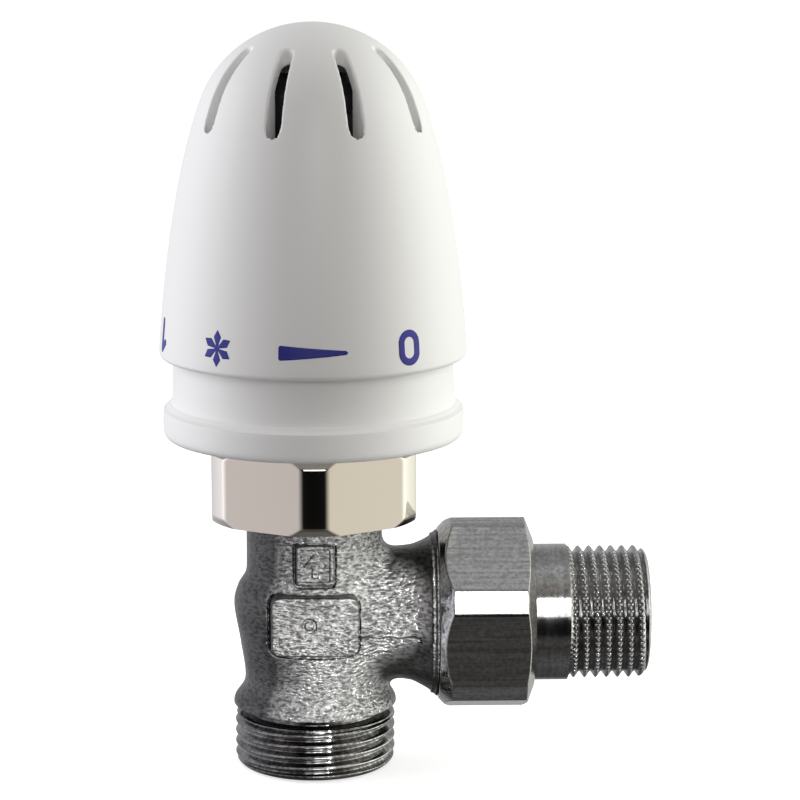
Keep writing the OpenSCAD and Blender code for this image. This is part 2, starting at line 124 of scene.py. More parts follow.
def box_distance(u, v, half_w, half_h, corner):
    """Signed distance to a rectangle with round corners."""
    return corner_distance(np.abs(u) - half_w + corner, np.abs(v) - half_h + corner, corner)


def blend_step(x, low, high):
    """0 below low and 1 above high, with a smooth rise between them."""
    t = np.clip((x - low) / (high - low), 0, 1)
    return t * t * (3 - 2 * t)


def curve(points, steps=24):
    """A Catmull-Rom curve through a few points, as in part.scad."""
    p = np.array(points, float)
    p = np.vstack([p[:1], p, p[-1:]])
    t = np.linspace(0, 1, steps, endpoint=False)[:, None]
    parts = [0.5 * (2 * b + (c - a) * t + (2 * a - 5 * b + 4 * c - d) * t ** 2
                    + (3 * b - a - 3 * c + d) * t ** 3)
             for a, b, c, d in zip(p, p[1:], p[2:], p[3:])]
    return np.vstack(parts + [p[-1:]])


def bezier(a, b, c, d, steps):
    """Points along a cubic curve from a to d, with b and c as its handles."""
    t = np.linspace(0, 1, steps)[:, None]
    a, b, c, d = (np.array(q, float) for q in (a, b, c, d))
    return (1 - t) ** 3 * a + 3 * t * (1 - t) ** 2 * b + 3 * t * t * (1 - t) * c + t ** 3 * d


def rounded(points, radius, steps):
    """A closed outline with each corner rounded, as a list of (r, z)."""
    out = []
    count = len(points)
    for i in range(count):
        prev, here, after = (np.array(points[j % count], float) for j in (i - 1, i, i + 1))
        to_prev, to_next = prev - here, after - here
        room = 0.45 * min(np.linalg.norm(to_prev), np.linalg.norm(to_next))
        cut = min(radius, room)
        start = here + to_prev / np.linalg.norm(to_prev) * cut
        end = here + to_next / np.linalg.norm(to_next) * cut
        for k in range(steps + 1):
            t = k / steps
            out.append((1 - t) ** 2 * start + 2 * t * (1 - t) * here + t * t * end)
    return out


# ---- Mesh helpers ----

def make_object(name, points, faces, normals=None, along_x=False):
    """A mesh object from millimetre points; along_x lays a +Z piece along the tail's axis."""
    points = np.array(points, float)
    if along_x:
        points = lay_along_tail(points)
    mesh = bpy.data.meshes.new(name)
    mesh.from_pydata((points * MM).tolist(), [], [list(f) for f in faces])
    mesh.validate()
    mesh.shade_smooth()
    if normals is not None:
        mesh.normals_split_custom_set_from_vertices(np.asarray(normals).tolist())
    return link_object(name, mesh)


def link_object(name, data):
    """Puts a mesh, light or camera into the scene."""
    obj = bpy.data.objects.new(name, data)
    bpy.context.scene.collection.objects.link(obj)
    return obj


def lay_along_tail(points):
    """Turns local +Z to world +X and local +X to world -Z, at the port's height."""
    x, y, z = points.T
    return np.stack([z, y, PORT_Z - x], axis=1)


def finish_piece(obj, body, slot, material, *nodes):
    """Gives a piece its material and body, and hides the CAD nodes it stands in for; slot is not used."""
    obj.data.materials.clear()
    obj.data.materials.append(material)
    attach(obj, body)
    if nodes:
        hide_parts(*nodes)


def sharpen(obj, degrees):
    """Keeps the edges that turn by more than an angle crisp."""
    obj.data.set_sharp_from_angle(angle=math.radians(degrees))


def lathe(name, outline, segments):
    """Turns a closed outline of (r, z) about the axis."""
    outline = np.array(outline, float)
    count = len(outline)
    angles = np.linspace(0, 2 * math.pi, segments, endpoint=False)
    points = np.array([(r * math.cos(a), r * math.sin(a), z) for a in angles for r, z in outline])
    faces = []
    for i in range(segments):
        here, after = i * count, (i + 1) % segments * count
        for k in range(count):
            n = (k + 1) % count
            faces.append((here + k, after + k, after + n, here + n))
    return make_object(name, points, faces)


def polar_tube(name, outer, inner, levels, segments, **place):
    """A closed tube whose outer and inner radii are functions of angle and height."""
    angles = np.linspace(0, 2 * math.pi, segments, endpoint=False)
    levels = np.array(levels, float)
    angle, height = np.meshgrid(angles, levels)
    rings = []
    for radius in (outer, inner):
        r = radius(angle, height)
        rings.append(np.stack([r * np.cos(angle), r * np.sin(angle), height], axis=-1))
    rows = len(levels)
    points = np.concatenate([ring.reshape(-1, 3) for ring in rings])
    i = np.arange(rows - 1)[:, None] * segments
    k = np.arange(segments)[None, :]
    n = (k + 1) % segments
    skin = np.stack([i + k, i + n, i + n + segments, i + k + segments], axis=-1).reshape(-1, 4)
    inside = skin[:, ::-1] + rows * segments
    k, n = k.ravel(), n.ravel()
    low, high = rows * segments, (rows - 1) * segments
    floor = np.stack([k, k + low, n + low, n], axis=-1)
    roof = np.stack([k + high, n + high, n + high + low, k + high + low], axis=-1)
    return make_object(name, points, np.concatenate([skin, inside, floor, roof]), **place)


def gradient(field, p, eps=0.02):
    """Slope of a field at each point, from central differences."""
    steps = np.eye(3) * eps
    return np.stack([(field(*(p + s).T) - field(*(p - s).T)) / (2 * eps) for s in steps], axis=1)


def implicit(name, field, low, high, cell):
    """Meshes the solid where field(x, y, z) is negative, with every point pulled onto its skin."""
    axes = [np.arange(a, b + cell, cell) for a, b in zip(low, high)]
    values = np.empty([len(a) for a in axes], np.float32)
    for i, x in enumerate(axes[0]):
        values[i] = field(x, axes[1][:, None], axes[2][None, :])
    limit = 3 * cell
    grid = openvdb.FloatGrid(background=limit)
    grid.copyFromArray(np.clip(values, -limit, limit))
    points, quads = grid.convertToQuads(isovalue=0.0)
    points = np.array(low) + np.asarray(points, float) * cell
    # A few Newton steps; the floor on size keeps them small where the field is nearly flat
    for _ in range(3):
        slope = gradient(field, points)
        size = np.maximum((slope ** 2).sum(1), 0.05)
        move = np.clip(field(*points.T) / size, -cell, cell)
        points -= slope * move[:, None]
    normals = gradient(field, points)
    normals /= np.linalg.norm(normals, axis=1, keepdims=True) + 1e-9
    quads = np.asarray(quads)
    a, b, c = (points[quads[:, j]] for j in (0, 1, 2))
    facing = (np.cross(b - a, c - a) * normals[quads[:, 0]]).sum()
    if facing < 0:
        quads = quads[:, ::-1]
    return make_object(name, points, quads, normals)


# ---- Materials ----

def material(name, colour, metallic, roughness, build=None, **extra):
    """A Principled material; build adds procedural detail to it."""
    mat = bpy.data.materials.new(name)
    mat.use_nodes = True
    nodes, links = mat.node_tree.nodes, mat.node_tree.links
    shader = nodes["Principled BSDF"]
    shader.inputs["Base Color"].default_value = (*colour, 1)
    shader.inputs["Metallic"].default_value = metallic
    shader.inputs["Roughness"].default_value = roughness
    for socket, value in extra.items():
        shader.inputs[socket.replace("_", " ")].default_value = value
    if build:
        build(nodes, links, shader)
    return mat


def add(nodes, kind, **values):
    """Adds a node, and sets its inputs or properties by name."""
    node = nodes.new(kind)
    for key, value in values.items():
        if key in node.inputs:
            node.inputs[key].default_value = value
        else:
            setattr(node, key, value)
    return node


def calculate(nodes, links, kind, operation, *operands):
    """A maths node whose operands are sockets or plain values."""
    node = add(nodes, kind, operation=operation)
    for socket, operand in zip(node.inputs, operands):
        if isinstance(operand, bpy.types.NodeSocket):
            links.new(operand, socket)
        else:
            socket.default_value = operand
    return node


def remap(nodes, links, source, from_min, from_max, to_min, to_max):
    """Carries a source from one range of values to another, and stops at its ends."""
    node = add(nodes, "ShaderNodeMapRange")
    limits = {"From Min": from_min, "From Max": from_max, "To Min": to_min, "To Max": to_max}
    for socket, value in limits.items():
        node.inputs[socket].default_value = value
    links.new(source, node.inputs["Value"])
    return node.outputs["Result"]


def noise_node(nodes, links, scale, detail, stretch=(1, 1, 1)):
    """Noise in object space, scale in features per metre."""
    coords = add(nodes, "ShaderNodeTexCoord")
    mapping = add(nodes, "ShaderNodeMapping")
    mapping.inputs["Scale"].default_value = stretch
    texture = add(nodes, "ShaderNodeTexNoise", Scale=scale, Detail=detail)
    links.new(coords.outputs["Object"], mapping.inputs["Vector"])
    links.new(mapping.outputs["Vector"], texture.inputs["Vector"])
    return texture


def ramp(nodes, links, source, stops):
    """A colour ramp; a stop's colour is a grey level or three values."""
    node = add(nodes, "ShaderNodeValToRGB")
    elements = node.color_ramp.elements
    while len(elements) < len(stops):
        elements.new(0.5)
    for element, (position, colour) in zip(elements, stops):
        element.position = position
        value = colour if isinstance(colour, tuple) else (colour, colour, colour)
        element.color = (*value, 1)
    links.new(source, node.inputs["Fac"])
    return node.outputs["Color"]


def vary(nodes, links, shader, source, socket, low, high):
    """Lets a texture swing a value socket between two limits."""
    links.new(remap(nodes, links, source, 0, 1, low, high), shader.inputs[socket])


def bump(nodes, links, shader, source, distance, strength, before=None):
    """Relief from a texture, on top of an earlier bump where there is one; distance in metres."""
    node = add(nodes, "ShaderNodeBump", Distance=distance, Strength=strength)
    links.new(source, node.inputs["Height"])
    if before is not None:
        links.new(before.outputs["Normal"], node.inputs["Normal"])
    links.new(node.outputs["Normal"], shader.inputs["Normal"])
    return node


def moulded(grain):
    """Moulded plastic: a fine grain, and a roughness that drifts a little."""
    def build(nodes, links, shader):
        fine = noise_node(nodes, links, grain, 2.0)
        broad = noise_node(nodes, links, 60, 2.0)
        middle = shader.inputs["Roughness"].default_value
        vary(nodes, links, shader, broad.outputs["Fac"], "Roughness", middle - 0.04, middle + 0.04)
        bump(nodes, links, shader, fine.outputs["Fac"], 0.000012, 0.5)
    return build


# The way that metal faces where it gets no painted shade; its middle value counts for the front and the back
# alike
UNSHADED_FACING = (0.35, 0.88, 0.24)
UNSHADED_ABOVE, FULL_SHADE_BELOW = 0.84, 0.5


def facing_shade(nodes, links, side):
    """Painted shade by which way the surface faces: 1 on metal that faces front or back and a little right,
    falling to side on metal that faces away from that.
    """
    facing = add(nodes, "ShaderNodeNewGeometry")
    split = add(nodes, "ShaderNodeSeparateXYZ")
    links.new(facing.outputs["Normal"], split.inputs["Vector"])
    either_way = calculate(nodes, links, "ShaderNodeMath", "ABSOLUTE", split.outputs["Y"])
    joined = add(nodes, "ShaderNodeCombineXYZ")
    links.new(split.outputs["X"], joined.inputs["X"])
    links.new(either_way.outputs["Value"], joined.inputs["Y"])
    links.new(split.outputs["Z"], joined.inputs["Z"])
    along = calculate(nodes, links, "ShaderNodeVectorMath", "DOT_PRODUCT",
                      joined.outputs["Vector"], UNSHADED_FACING)
    return remap(nodes, links, along.outputs["Value"], UNSHADED_ABOVE, FULL_SHADE_BELOW, 1, side)


def shade(nodes, links, shader, tone, mask):
    """Multiplies a colour by the painted shade."""
    node = calculate(nodes, links, "ShaderNodeVectorMath", "MULTIPLY", tone, mask)
    links.new(node.outputs["Vector"], shader.inputs["Base Color"])


def cast_skin(nodes, links, shader):
    """Orange peel of a tumbled and blasted casting, with painted shade on the sides that face away from the
    front and the right.
    """
    peel = noise_node(nodes, links, 1700, 1.0, (0.65, 0.65, 1.4))
    dents = noise_node(nodes, links, 260, 2.0)
    tone = ramp(nodes, links, peel.outputs["Fac"],
                [(0.36, (0.35, 0.35, 0.352)), (0.5, (0.8, 0.8, 0.8)), (0.62, (1.0, 1.0, 0.99))])
    # Painted shade: the peel's tone is darkened on metal that faces away from the front and the right
    shade(nodes, links, shader, tone, facing_shade(nodes, links, 0.085))
    vary(nodes, links, shader, dents.outputs["Fac"], "Roughness", 0.24, 0.4)
    first = bump(nodes, links, shader, dents.outputs["Fac"], 0.0004, 0.4)
    second = bump(nodes, links, shader, peel.outputs["Fac"], 0.001, 1.0, before=first)
    # The same facing mask also weakens the peel's relief on those sides
    links.new(facing_shade(nodes, links, 0.12), second.inputs["Strength"])


def turned(stretch, dark, light, side):
    """Fine tool marks across the most stretched axis; side is the tone of the painted shade, on metal that
    faces away from the front and the right.
    """
    def build(nodes, links, shader):
        marks = noise_node(nodes, links, 90, 4.0, stretch)
        grain = noise_node(nodes, links, 1600, 3.0)
        both = calculate(nodes, links, "ShaderNodeMath", "ADD", marks.outputs["Fac"], grain.outputs["Fac"])
        mean = calculate(nodes, links, "ShaderNodeMath", "MULTIPLY", both.outputs["Value"], 0.5)
        tone = ramp(nodes, links, mean.outputs["Value"], [(0.4, dark), (0.6, light)])
        # Painted shade: the tone is darkened on metal that faces away from the front and the right
        shade(nodes, links, shader, tone, facing_shade(nodes, links, side))
        vary(nodes, links, shader, marks.outputs["Fac"], "Roughness", 0.07, 0.17)
        bump(nodes, links, shader, marks.outputs["Fac"], 0.00005, 0.8)
    return build


def polished(nodes, links, shader):
    """Bright nickel with a slight haze."""
    haze = noise_node(nodes, links, 140, 3.0)
    fine = noise_node(nodes, links, 900, 2.0)
    vary(nodes, links, shader, haze.outputs["Fac"], "Roughness", 0.04, 0.09)
    bump(nodes, links, shader, fine.outputs["Fac"], 0.000003, 0.4)


def plain_metal(low, high):
    """Metal with an even grain, whose roughness swings between two limits."""
    def build(nodes, links, shader):
        grain = noise_node(nodes, links, 600, 3.0)
        vary(nodes, links, shader, grain.outputs["Fac"], "Roughness", low, high)
        bump(nodes, links, shader, grain.outputs["Fac"], 0.00001, 0.5)
    return build


# Name, colour, metallic, roughness and procedural detail
WHITE = material("white_plastic", (0.84, 0.84, 0.835), 0, 0.36, moulded(2600))
CAST = material("cast_nickel", (0.55, 0.55, 0.55), 0.7, 0.3, cast_skin)
TURNED_X = material("machined_nickel_x", (0.4, 0.4, 0.4), 1, 0.2, turned((14, 1, 1), 0.5, 0.85, 0.5))
TURNED_Z = material("machined_nickel_z", (0.35, 0.35, 0.35), 1, 0.2, turned((1, 1, 14), 0.3, 1.0, 0.25))
MILLED = material("milled_nickel", (0.45, 0.45, 0.45), 1, 0.2, turned((0.5, 16, 16), 0.5, 0.85, 0.6))
POLISHED = material("polished_nickel", (0.86, 0.82, 0.75), 1, 0.08, polished)
BRASS = material("raw_brass", (0.72, 0.53, 0.23), 1, 0.25, plain_metal(0.18, 0.35))
STEEL = material("stainless", (0.62, 0.62, 0.62), 1, 0.2, plain_metal(0.14, 0.28))
SPRING = material("spring_steel", (0.5, 0.5, 0.5), 1, 0.3, plain_metal(0.22, 0.38))
ALUMINIUM = material("sensor_metal", (0.6, 0.6, 0.61), 1, 0.35, plain_metal(0.3, 0.42))
RUBBER = material("seal_rubber", (0.02, 0.02, 0.02), 0, 0.6, moulded(1500))
BLACK = material("black_plastic", (0.012, 0.012, 0.012), 0, 0.45, moulded(1800))
ACETAL = material("natural_plastic", (0.8, 0.77, 0.68), 0, 0.4, moulded(1800))
INK = material("blue_print", (0.022, 0.024, 0.26), 0, 0.4, moulded(2600))

SLOT_MATERIALS = {
    "white_plastic": WHITE, "cast_nickel": CAST, "machined_nickel": TURNED_X,
    "polished_nickel": POLISHED, "raw_brass": BRASS, "stainless": STEEL,
    "spring_steel": SPRING, "sensor_metal": ALUMINIUM, "seal_rubber": RUBBER,
    "black_plastic": BLACK, "natural_plastic": ACETAL, "blue_print": INK,
}


def paint_cad_nodes():
    """Gives every CAD piece that stays in the picture the material of its slot."""
    for part in frame["record"]["subparts"]:
        data = NODES[part["node"]].data
        data.materials.clear()
        data.materials.append(SLOT_MATERIALS[part["material_slot"]])


# ---- Knob ----

# Steps of the outline's two curves, each
OUTLINE_STEPS = 200
FLANK_LEAN, SHOULDER_LEAN = 3.8, 21.25
# A point on the axis, well inside, from which the outline is measured
CROWN_CENTRE = KNOB_RIM + 0.37 * KNOB_H
KNOB_WALL = 2.2
RIM_ROUND = 1.4
# The skirt's bore passes over the base's neck
SKIRT_BORE, SKIRT_TOP = 23.0, KNOB_RIM + 8.2
# The sleeve holds the sensor's tower, and its outside stops under a ledge
SLEEVE_R, SLEEVE_OUT_R = 17.1, 18.8
SLEEVE_Z, LEDGE_Z = KNOB_RIM + 9.7, KNOB_RIM + 29.3
FLANK_INSIDE_TOP = KNOB_RIM + 25.3
CAVITY_R = 14.4
# Nine air slots, each narrower at its inner end
SLOT_STEP = math.radians(40)
FIRST_SLOT = math.radians(-90 + 21.3)
SLOT_IN, SLOT_OUT = 11.1, 19.1
SLOT_CORNER = 0.75
SLOT_W_IN, SLOT_W_OUT = 2.0, 2.5
SLOT_FLOOR = KNOB_RIM + 31.2


def lean(degrees):
    """The direction that tilts inwards from straight up by an angle, as (r, z)."""
    a = math.radians(degrees)
    return np.array([-math.sin(a), math.cos(a)])


def knob_outline():
    """The knob's outline as (r, z) points, from below the rim to the crown."""
    start = np.array([KNOB_R, KNOB_RIM + 1])
    shoulder = np.array([KNOB_R * 0.709, KNOB_RIM + KNOB_H * 0.78])
    crown = np.array([0, KNOB_TOP])
    flank = bezier(start, start + 11.5 * lean(FLANK_LEAN), shoulder - 12 * lean(SHOULDER_LEAN), shoulder,
                   OUTLINE_STEPS)
    top = bezier(shoulder, shoulder + 7.4 * lean(SHOULDER_LEAN), crown + [8, 0], crown, OUTLINE_STEPS)
    below = start - 16 * lean(FLANK_LEAN)
    return np.vstack([below, flank, top[1:]])


OUTLINE = knob_outline()


def outline_table():
    """The outline's reach from the inside centre and the cosine of its tilt, by angle of elevation."""
    entries, window = 3000, 25
    away = OUTLINE - [0, CROWN_CENTRE]
    angle = np.arctan2(away[:, 1], away[:, 0])
    reach = np.hypot(away[:, 0], away[:, 1])
    even = np.linspace(angle[0], math.pi / 2, entries)
    reach_even = np.interp(even, angle, reach)
    tilt = np.gradient(reach_even, even) / reach_even
    padded = np.pad(tilt, window // 2, mode="edge")
    smoothed = np.convolve(padded, np.ones(window) / window, "valid")
    return even, reach_even, 1 / np.sqrt(1 + smoothed ** 2)


DOME_ANGLE, DOME_REACH, DOME_COS = outline_table()


def dome_distance(rho, z):
    """Distance to the solid that the outline makes when it is turned."""
    height = z - CROWN_CENTRE
    angle = np.arctan2(height, rho)
    reach = np.interp(angle, DOME_ANGLE, DOME_REACH)
    return (np.hypot(rho, height) - reach) * np.interp(angle, DOME_ANGLE, DOME_COS)


def slot_distance(x, y):
    """Plan of the nine air slots: a round inner end and a nearly square outer end."""
    turn = np.arctan2(y, x) - FIRST_SLOT
    turn = (turn + SLOT_STEP / 2) % SLOT_STEP - SLOT_STEP / 2
    rho = np.hypot(x, y)
    u, v = rho * np.cos(turn), np.abs(rho * np.sin(turn))
    centre = SLOT_IN + SLOT_W_IN / 2
    width = SLOT_W_IN + (SLOT_W_OUT - SLOT_W_IN) * (u - centre) / (SLOT_OUT - centre)
    outer = corner_distance(v - width / 2 + SLOT_CORNER, u - SLOT_OUT + SLOT_CORNER, SLOT_CORNER)
    return np.where(u < centre, np.hypot(u - centre, v) - SLOT_W_IN / 2, outer)


def knob_field(x, y, z):
    """The knob's shell: its dome, less the hollow inside and the air slots."""
    rho = np.hypot(x, y)
    dome = dome_distance(rho, z)
    inside = dome + KNOB_WALL
    skin = smooth_max(dome, KNOB_RIM - z, RIM_ROUND)
    skirt = barrel(rho, z, SKIRT_BORE, high=SKIRT_TOP)
    between = np.maximum(np.maximum(inside, z - FLANK_INSIDE_TOP),
                         np.minimum(SLEEVE_OUT_R - rho, z - SLEEVE_Z))
    sleeve = barrel(rho, z, SLEEVE_R, high=LEDGE_Z)
    core = np.maximum(rho - CAVITY_R, inside)
    shell = smooth_max(skin, -union_of(skirt, between, sleeve, core), 0.3)
    slots = np.maximum(slot_distance(x, y), SLOT_FLOOR - z)
    return smooth_max(shell, -slots, 0.35)


def build_knob():
    margin = 0.6
    reach = KNOB_R + margin
    knob = implicit("knob_shell", knob_field, (-reach, -reach, KNOB_RIM - margin),
                    (reach, reach, KNOB_TOP + margin), 0.34)
    finish_piece(knob, "knob", "white_plastic", WHITE, "head_knob")


# ---- Printed marks ----

def stroke_distance(u, v, points, width):
    """Distance to a line through points, drawn with a pen of that width."""
    best = np.full(np.broadcast(u, v).shape, 1e3)
    for (x0, y0), (x1, y1) in zip(points, points[1:]):
        dx, dy = x1 - x0, y1 - y0
        t = np.clip(((u - x0) * dx + (v - y0) * dy) / (dx * dx + dy * dy), 0, 1)
        best = np.minimum(best, np.hypot(u - x0 - t * dx, v - y0 - t * dy))
    return best - width / 2


def arc(cx, cy, rx, ry, a0, a1):
    """Points along part of an ellipse, between two angles in degrees."""
    angles = np.radians(np.linspace(a0, a1, 14))
    return [(cx + rx * math.cos(a), cy + ry * math.sin(a)) for a in angles]


# Width of the digits' strokes
PEN = 1.12


def digit_0(u, v):
    return stroke_distance(u, v, arc(0, 0.75, 1.5, 1.5, 0, 180) + arc(0, -0.75, 1.5, 1.5, 180, 360)
                           + [(1.5, 0.75)], PEN)


def digit_1(u, v):
    return stroke_distance(u, v, [(-1.2, 1.1), (0.2, 2.25), (0.2, -2.25)], PEN)


def digit_2(u, v):
    return stroke_distance(u, v, arc(0, 1.0, 1.4, 1.25, 165, -25) + [(-1.35, -2.25), (1.5, -2.25)], PEN)


def digit_3(u, v):
    return stroke_distance(u, v, arc(0, 1.15, 1.25, 1.15, 160, -70)
                           + arc(0, -1.05, 1.4, 1.25, 75, -160), PEN)


def digit_4(u, v):
    return stroke_distance(u, v, [(1.6, -0.9), (-1.6, -0.9), (0.6, 2.25), (0.6, -2.25)], PEN)


def digit_5(u, v):
    return stroke_distance(u, v, [(1.3, 2.25), (-1.1, 2.25), (-1.25, 0.35)]
                           + arc(0, -0.75, 1.45, 1.45, 125, -150), PEN)


def frost(u, v):
    """Six pointed petals around a small gap."""
    belly, tip, half_w = 1.8, 2.9, 0.72
    gap = 0.1
    step = math.pi / 3
    turn = (np.arctan2(u, v) + step / 2) % step - step / 2
    r = np.hypot(u, v)
    along, across = r * np.cos(turn), np.abs(r * np.sin(turn))
    rise = np.where(along < belly, (along + gap) / (belly + gap), (tip - along) / (tip - belly))
    return (across - half_w * rise) * 0.85


def wedge(u, v):
    """A plain wedge that widens towards the warmer marks."""
    half_length = 5.5
    narrow, growth = 0.3, 0.9
    half_w = narrow + growth * (u + half_length) / (2 * half_length)
    return smooth_max(np.abs(v) - half_w, np.abs(u) - half_length, 0.5)


def filled(shape, half_w, half_h, cell):
    """Grid cells inside a flat shape, with their border pulled onto its outline."""
    us = np.arange(-half_w, half_w + cell, cell)
    vs = np.arange(-half_h, half_h + cell, cell)
    u, v = np.meshgrid(us, vs, indexing="ij")
    inside = shape(u[:-1, :-1] + cell / 2, v[:-1, :-1] + cell / 2) < 0
    index = np.arange(u.size).reshape(u.shape)
    i, j = np.nonzero(inside)
    quads = np.stack([index[i, j], index[i + 1, j], index[i + 1, j + 1], index[i, j + 1]], axis=1)
    edges = np.concatenate([quads[:, [k, (k + 1) % 4]] for k in range(4)])
    keys, counts = np.unique(np.sort(edges, axis=1), axis=0, return_counts=True)
    border = np.unique(keys[counts == 1])
    single = {tuple(k) for k in keys[counts == 1]}
    rim = [e for e in edges if tuple(sorted(e)) in single]
    points = np.stack([u.ravel(), v.ravel()], axis=1)
    eps = 0.01
    for _ in range(4):
        p, q = points[border].T
        value = shape(p, q)
        slope = np.stack([shape(p + eps, q) - shape(p - eps, q),
                          shape(p, q + eps) - shape(p, q - eps)], axis=1) / (2 * eps)
        size = np.maximum((slope ** 2).sum(1), 0.2)
        points[border] -= slope * np.clip(value / size, -cell, cell)[:, None]
    used, quads = np.unique(quads, return_inverse=True)
    quads = quads.reshape(-1, 4)
    renumber = {old: new for new, old in enumerate(used)}
    rim = [(renumber[a], renumber[b]) for a, b in rim]
    return points[used], quads, rim


def print_on(name, marks, place):
    """Thin closed ink pads laid on a surface; place carries flat points at an angle and a lift to it."""
    cell = 0.12
    points, faces = [], []
    start = 0
    for shape, half_w, half_h, angle in marks:
        flat, quads, rim = filled(shape, half_w, half_h, cell)
        count = len(flat)
        for lift in INK_LIFTS:
            points.append(place(flat, angle, lift))
        faces += [tuple(q + start + count) for q in quads]
        faces += [tuple(q[::-1] + start) for q in quads]
        faces += [(a + start, b + start, b + start + count, a + start + count) for a, b in rim]
        start += 2 * count
    return make_object(name, np.vstack(points), faces)


MARK_Z = KNOB_RIM + 4.45
MARK_STEP = 37.3      # degrees between marks of the scale


def on_flank(flat, angle, lift):
    """Upside down on the knob's flank, so that the scale reads from above."""
    flank = OUTLINE[:OUTLINE_STEPS]
    z = MARK_Z - flat[:, 1]
    r = np.interp(z, flank[:, 1], flank[:, 0]) + lift
    a = math.radians(angle - 90) - flat[:, 0] / KNOB_R
    return np.stack([r * np.cos(a), r * np.sin(a), z], axis=1)


def build_marks():
    room = (2.6, 3.1)
    wedge_room = (6, 2)
    digits = [digit_1, digit_2, digit_3, digit_4, digit_5]
    marks = [(digit_0, *room, MARK_STEP), (wedge, *wedge_room, 0), (frost, *room, -MARK_STEP)]
    marks += [(digit, *room, -(i + 2) * MARK_STEP) for i, digit in enumerate(digits)]
    ink = print_on("scale_print", marks, on_flank)
    finish_piece(ink, "knob", "blue_print", INK, "scale_marks")


# ---- Head base ----

FLANGE_R = BASE_HIGH[0]
FLANGE_Z = 55.1
FLANGE_TOP = 59.8
INDEX_Z = 57.6
FLOOR_Z = 57.6
FLOOR_STEP = 0.4          # depth of the recess in the floor, and of the one in the flange's underside
NECK_R = 22.7
NECK_BORE = NECK_R - 1.8
NECK_TOP = 71.0
COLLAR_BORE, COLLAR_R = 10.6, 12.4
PIN_HOLE = 3.05
TOWER_R, TOWER_TOP = 17.0, 88.0
TOWER_BORE, GROOVE_R = 13.8, 15.0
GROOVE_HALF = 0.125       # radians that a groove for the sensor cage's key takes to each side
GROOVE_STEP = 2 * math.pi / 3


def base_outline():
    """The moulding's closed outline: collar, flange, hollow slope and neck, then back along the inside."""
    foot = rounded([(COLLAR_BORE, BASE_LOW[2]), (COLLAR_R, BASE_LOW[2]), (COLLAR_R, FLANGE_Z),
                    (FLANGE_R, FLANGE_Z), (FLANGE_R, FLANGE_TOP)], 1.5, 6)
    # The last corner belongs to the closing line, so only the start of its arc is kept
    foot = [p for p in foot if p[1] < FLANGE_TOP - 0.9 or p[0] < COLLAR_R + 1.6]
    rim_corner = [(FLANGE_R - 0.02, FLANGE_TOP - 0.8), (FLANGE_R - 0.06, FLANGE_TOP - 0.35)]
    slope = curve([(FLANGE_R - 0.1, FLANGE_TOP), (NECK_R + 0.75, FLANGE_TOP + 0.7),
                   (NECK_R + 0.2, FLANGE_TOP + 2.2), (NECK_R, NECK_TOP - 0.4)], 10)
    recess_r = TOWER_R - 1.2
    under, over = FLOOR_Z - FLOOR_STEP, FLANGE_Z + FLOOR_STEP
    inside = [(NECK_R - 0.4, NECK_TOP), (NECK_BORE, NECK_TOP), (NECK_BORE, FLOOR_Z), (recess_r, FLOOR_Z),
              (recess_r, under), (PIN_HOLE, under), (PIN_HOLE, over), (COLLAR_BORE, over)]
    return foot + rim_corner + list(slope) + inside


def build_base():
    base = lathe("base_moulding", base_outline(), 384)
    sharpen(base, 40)
    finish_piece(base, "valve", "white_plastic", WHITE, "head_base")

    def grooved(angle, height):
        turn = (angle + GROOVE_STEP / 2) % GROOVE_STEP - GROOVE_STEP / 2
        return np.where(np.abs(turn) < GROOVE_HALF, GROOVE_R, TOWER_BORE)

    def tower(angle, height):
        return np.full_like(angle, TOWER_R)

    tube = polar_tube("base_tower", tower, grooved, [FLOOR_Z, 60, TOWER_TOP - 0.4, TOWER_TOP], 240)
    sharpen(tube, 35)
    finish_piece(tube, "valve", "white_plastic", WHITE)


# ---- Nuts ----

def hexagon(angle, across_flats, corner):
    """Radius of a hexagon with one corner at the given angle."""
    step = math.pi / 3
    turn = (angle - corner) % step - step / 2
    return across_flats / 2 / np.cos(turn)


def nut_levels(z0, low_h, top_h, z1, bore_step):
    """Heights of a nut's rings, close together on its chamfers and at the step of its bore."""
    low, top = z0 + low_h + 0.3, z1 - top_h - 0.3
    parts = [np.linspace(z0, low, 26), np.linspace(low, top, 12)[1:], np.linspace(top, z1, 26)[1:],
             [bore_step, bore_step + 0.01]]
    return np.unique(np.concatenate(parts))


def worn(values, k=0.22):
    """The smallest of several radii, with rounded edges between them."""
    out = values[0]
    for value in values[1:]:
        out = smooth_min(out, value, k)
    return out


def build_head_nut():
    z0, z1 = NUT_LOW[2], NUT_HIGH[2]
    across, corner_r = 33, 18.0
    chamfer_r, chamfer = 17.3, 1.2
    thread_r, hole_r, lip_z = 14.0, 12.5, 52.5
    corner = -math.pi / 2
    rise = (corner_r - chamfer_r) / chamfer

    def outer(angle, z):
        cone_low = chamfer_r + (z - z0) * rise
        cone_top = chamfer_r + (z1 - z) * rise
        return worn([hexagon(angle, across, corner), np.full_like(z, corner_r), cone_low, cone_top])

    def inner(angle, z):
        return np.where(z > lip_z, hole_r, thread_r)

    nut = polar_tube("head_nut_shell", outer, inner, nut_levels(z0, chamfer, chamfer, z1, lip_z), 900)
    sharpen(nut, 60)
    finish_piece(nut, "head_nut", "polished_nickel", POLISHED, "head_nut")


